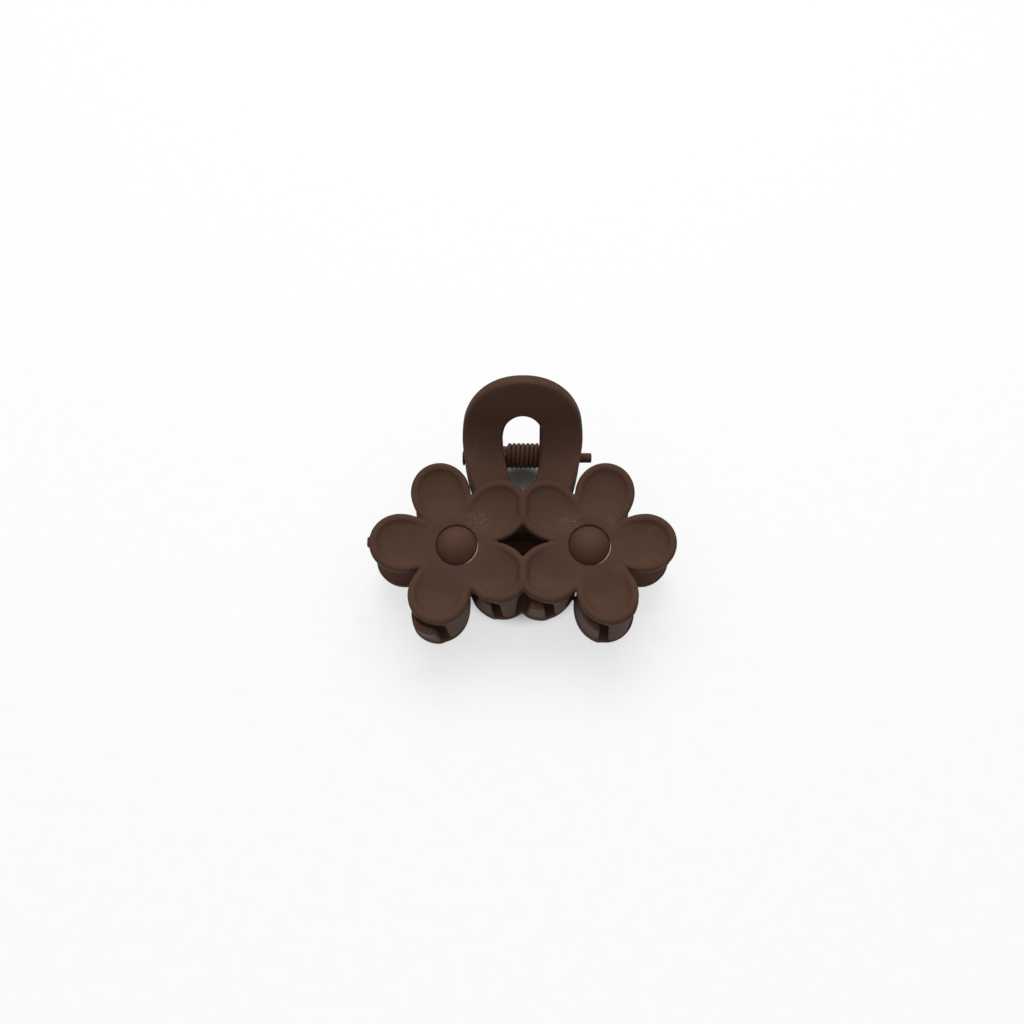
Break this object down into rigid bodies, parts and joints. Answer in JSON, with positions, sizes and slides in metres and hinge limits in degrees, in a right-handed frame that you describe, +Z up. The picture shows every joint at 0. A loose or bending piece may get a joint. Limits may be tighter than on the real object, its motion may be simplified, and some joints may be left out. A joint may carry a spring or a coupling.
{
  "type": "hair claw clip",
  "caption": "Small claw hair clip: jaws shaped as paired daisies with teeth, finger loops, hinge pin and torsion spring, coated matte brown.",
  "frame": {"origin": "bottom centre of the closed clip's bounding box, on the surface it lies on", "axes": "+X along the hinge pin and the row of flowers, +Y from the teeth towards the finger loops, +Z up out of the front flowers; the clip lies on its back petals and back finger loop, so its faces tilt 15.24 degrees"},
  "size_m": [0.0506, 0.0436, 0.0322],
  "materials": {
    "jaw_coating": "soft matte rubberised coat",
    "dome_coating": "soft matte rubberised coat",
    "pin_coating": "matte coat on steel",
    "spring_coating": "matte coat on spring steel"
  },
  "bodies": {
    "back_jaw": {"back_jaw": "jaw_coating", "hinge_pin": "pin_coating", "torsion_spring": "spring_coating", "back_left_dome": "dome_coating", "back_right_dome": "dome_coating"},
    "front_jaw": {"front_jaw": "jaw_coating", "front_left_dome": "dome_coating", "front_right_dome": "dome_coating"}
  },
  "joints": [
    {"name": "jaw_hinge", "type": "hinge", "parent": "back_jaw", "child": "front_jaw", "pos_m": [0, 0.00959, 0.01443], "axis": [-1, 0, 0], "range_deg": [0, 78], "stiffness_Nm_per_rad": 0.03, "springref_deg": -28.65, "deforming": ["torsion_spring"]}
  ]
}
